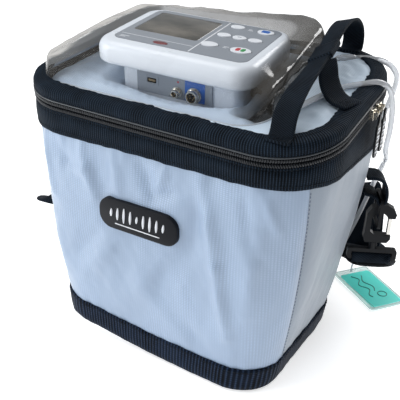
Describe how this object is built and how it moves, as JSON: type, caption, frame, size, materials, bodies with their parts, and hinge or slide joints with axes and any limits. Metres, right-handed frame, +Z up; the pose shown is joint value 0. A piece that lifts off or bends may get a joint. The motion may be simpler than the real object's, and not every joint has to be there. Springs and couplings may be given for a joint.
{
  "type": "oxygen concentrator",
  "caption": "Portable medical breathing unit in a soft insulated carry bag with zipped lid, clear hood, handle, shoulder strap, tubing and tag.",
  "frame": {"origin": "on the floor under the middle of the bag, on the underside of its base", "axes": "+Z up, +Y towards the back of the bag where the lid is hinged, +X towards the side that carries the handle"},
  "size_m": [0.4455, 0.2837, 0.3156],
  "materials": {
    "silver_nylon": "fine diamond ripstop nylon, light steel blue with a soft sheen",
    "grey_nylon": "light grey nylon over padding, satin",
    "black_webbing": "black polyester webbing and zip tape, matt, ribbed",
    "black_plastic": "moulded acetal, satin",
    "white_plastic": "moulded ABS, satin",
    "fascia_grey": "grey overlay and plate, satin",
    "screen": "dark display window, glossy",
    "key_white": "white moulded key caps, satin",
    "clear_vinyl": "clear soft vinyl film, glossy and creased",
    "foil": "metallised insulating liner, bright",
    "foam": "closed-cell foam, matt",
    "steel": "nickel-plated steel strip, bright",
    "aluminium": "drawn and cast aluminium, satin",
    "brass": "machined brass with wound coils, satin",
    "circuit_green": "glass-fibre circuit board, satin",
    "cell_blue": "shrink-wrapped cells, satin",
    "mint_vinyl": "mint card in a clear sleeve",
    "clear_pvc": "clear flexible PVC tube, glossy"
  },
  "bodies": {
    "bag": {"zipper_lower": "black_webbing", "top_pad": "grey_nylon", "unit_top_cover": "white_plastic", "fascia_overlay": "fascia_grey", "display": "screen", "unit_case": "white_plastic", "unit_base": "white_plastic", "port_plate": "fascia_grey", "connector_small": "steel", "connector_large": "steel", "outlet_barb": "black_plastic", "battery_pack": "cell_blue", "sieve_columns": "aluminium", "compressor": "aluminium", "valve_manifold": "brass", "fan_housing": "black_plastic", "control_board": "circuit_green", "base_tray": "black_webbing", "front_panel": "silver_nylon", "rear_shell": "silver_nylon", "foil_liner": "foil", "top_band": "black_webbing", "badge": "black_plastic", "strap_tab_right": "black_webbing", "swivel_right": "black_plastic", "strap_tab_left": "black_webbing", "swivel_left": "black_plastic", "shoulder_pad": "black_webbing", "shoulder_strap": "black_webbing", "tag_loop": "clear_pvc", "tube_out": "clear_pvc", "tube_back": "clear_pvc", "tube_coil": "clear_pvc", "foam_cradle": "foam"},
    "lid": {"zipper_upper": "black_webbing", "lid_band": "black_webbing", "lid_panel": "grey_nylon", "vinyl_hood": "clear_vinyl", "handle_strap": "black_webbing", "handle_side_leg": "black_webbing", "tube_connector": "clear_pvc"},
    "tag": {"luggage_tag": "mint_vinyl"},
    "fan_rotor": {"fan_rotor": "black_plastic"},
    "key_power": {"key_power": "key_white"},
    "key_enter": {"key_enter": "key_white"},
    "key_left": {"key_left": "key_white"},
    "key_centre": {"key_centre": "key_white"},
    "key_right": {"key_right": "key_white"},
    "key_up": {"key_up": "key_white"},
    "key_alarm_silence": {"key_alarm_silence": "key_white"},
    "zip_slider_front": {"zip_slider_front": "black_plastic"},
    "zip_puller_front": {"zip_puller_front": "black_plastic"},
    "zip_slider_rear": {"zip_slider_rear": "black_plastic"},
    "zip_puller_rear": {"zip_puller_rear": "black_plastic"},
    "ring_right": {"ring_right": "black_plastic"},
    "hook_right": {"hook_right": "black_plastic"},
    "gate_right": {"gate_right": "steel"},
    "ring_left": {"ring_left": "black_plastic"},
    "hook_left": {"hook_left": "black_plastic"},
    "gate_left": {"gate_left": "steel"}
  },
  "joints": [
    {"name": "lid_hinge", "type": "hinge", "parent": "bag", "child": "lid", "pos_m": [0, 0.09707, 0.26409], "axis": [-1, 0, 0], "range_deg": [0, 100], "deforming": ["tube_out", "tube_back"]},
    {"name": "key_power_press", "type": "slide", "parent": "bag", "child": "key_power", "axis": [-0.0508, 0.1011, -0.9936], "range_m": [0, 0.0008], "stiffness_N_per_m": 600},
    {"name": "key_enter_press", "type": "slide", "parent": "bag", "child": "key_enter", "axis": [-0.0508, 0.1011, -0.9936], "range_m": [0, 0.0008], "stiffness_N_per_m": 600},
    {"name": "key_left_press", "type": "slide", "parent": "bag", "child": "key_left", "axis": [-0.0508, 0.1011, -0.9936], "range_m": [0, 0.0008], "stiffness_N_per_m": 600},
    {"name": "key_centre_press", "type": "slide", "parent": "bag", "child": "key_centre", "axis": [-0.0508, 0.1011, -0.9936], "range_m": [0, 0.0008], "stiffness_N_per_m": 600},
    {"name": "key_right_press", "type": "slide", "parent": "bag", "child": "key_right", "axis": [-0.0508, 0.1011, -0.9936], "range_m": [0, 0.0008], "stiffness_N_per_m": 600},
    {"name": "key_up_press", "type": "slide", "parent": "bag", "child": "key_up", "axis": [-0.0508, 0.1011, -0.9936], "range_m": [0, 0.0008], "stiffness_N_per_m": 600},
    {"name": "key_alarm_silence_press", "type": "slide", "parent": "bag", "child": "key_alarm_silence", "axis": [-0.0508, 0.1011, -0.9936], "range_m": [0, 0.0008], "stiffness_N_per_m": 600},
    {"name": "zip_slider_front_run", "type": "slide", "parent": "bag", "child": "zip_slider_front", "axis": [0, 0.9914, 0.1305], "range_m": [-0.045, 0]},
    {"name": "zip_puller_front_swing", "type": "hinge", "parent": "zip_slider_front", "child": "zip_puller_front", "pos_m": [0.16135, 0.0106, 0.25271], "axis": [0, -1, 0], "range_deg": [0, 80]},
    {"name": "zip_slider_rear_run", "type": "slide", "parent": "bag", "child": "zip_slider_rear", "axis": [0, 0.9914, 0.1305], "range_m": [0, 0.005]},
    {"name": "zip_puller_rear_swing", "type": "hinge", "parent": "zip_slider_rear", "child": "zip_puller_rear", "pos_m": [0.16135, 0.02349, 0.2544], "axis": [0, -1, 0], "range_deg": [0, 80]},
    {"name": "ring_right_swing", "type": "hinge", "parent": "bag", "child": "ring_right", "pos_m": [0.15659, 0.06795, 0.155], "axis": [-0.454, 0.891, 0], "range_deg": [-8, 2]},
    {"name": "hook_right_swivel", "type": "hinge", "parent": "bag", "child": "hook_right", "pos_m": [0.15659, 0.06795, 0.106], "axis": [0, 0, 1], "range_deg": [-20, 20]},
    {"name": "gate_right_snap", "type": "hinge", "parent": "hook_right", "child": "gate_right", "pos_m": [0.168, 0.07376, 0.1155], "axis": [0.454, -0.891, 0], "range_deg": [0, 18], "stiffness_Nm_per_rad": 0.05},
    {"name": "ring_left_swing", "type": "hinge", "parent": "bag", "child": "ring_left", "pos_m": [-0.15659, 0.06795, 0.155], "axis": [-0.454, -0.891, 0], "range_deg": [-8, 2]},
    {"name": "hook_left_swivel", "type": "hinge", "parent": "bag", "child": "hook_left", "pos_m": [-0.15659, 0.06795, 0.106], "axis": [0, 0, 1], "range_deg": [-20, 20]},
    {"name": "gate_left_snap", "type": "hinge", "parent": "hook_left", "child": "gate_left", "pos_m": [-0.168, 0.07376, 0.1155], "axis": [0.454, 0.891, 0], "range_deg": [0, 18], "stiffness_Nm_per_rad": 0.05},
    {"name": "fan_spin", "type": "hinge", "parent": "bag", "child": "fan_rotor", "pos_m": [0.04065, -0.0059, 0.1934], "axis": [0.9963, 0.0742, -0.0434], "continuous": true},
    {"name": "tag_lift", "type": "hinge", "parent": "bag", "child": "tag", "pos_m": [0.111, 0.1675, 0.0012], "axis": [-0.6004, -0.7997, 0], "range_deg": [0, 30]}
  ]
}
